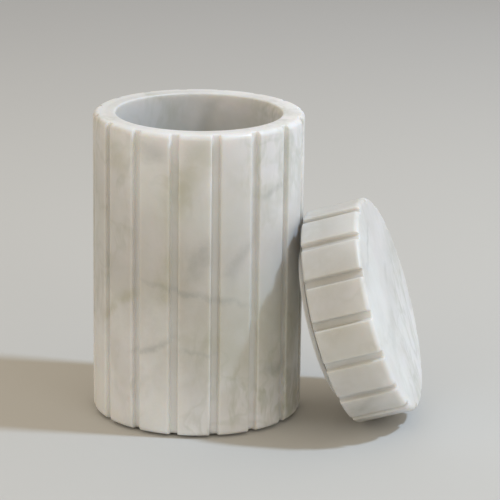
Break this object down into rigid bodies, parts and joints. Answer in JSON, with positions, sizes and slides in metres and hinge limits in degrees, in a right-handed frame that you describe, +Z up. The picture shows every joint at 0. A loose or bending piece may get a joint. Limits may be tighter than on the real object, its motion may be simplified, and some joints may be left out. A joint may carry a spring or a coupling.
{
  "type": "powder jar",
  "caption": "Tall round stone jar with vertical flutes and a thick fluted lid that is off and leans on the side; holds loose powder or cotton pads.",
  "frame": {"origin": "centre of the jar's foot, on the surface it stands on", "axes": "+Z up along the jar's bore, -Y towards the front rib, the lid leans on the +X side"},
  "size_m": [0.1591, 0.1158, 0.1459],
  "materials": {
    "marble": "honed white marble with soft grey and ochre veins",
    "silicone": "milky moulded silicone",
    "pad": "matt soft rubber"
  },
  "bodies": {
    "jar": {"jar_body": "marble", "foot_pad_1": "pad", "foot_pad_2": "pad", "foot_pad_3": "pad", "foot_pad_4": "pad"},
    "lid": {"lid_body": "marble", "lid_seal": "silicone"}
  },
  "joints": [
    {"name": "lid_lift", "type": "slide", "parent": "jar", "child": "lid", "axis": [0, 0, 1], "range_m": [0, 0.16]}
  ]
}
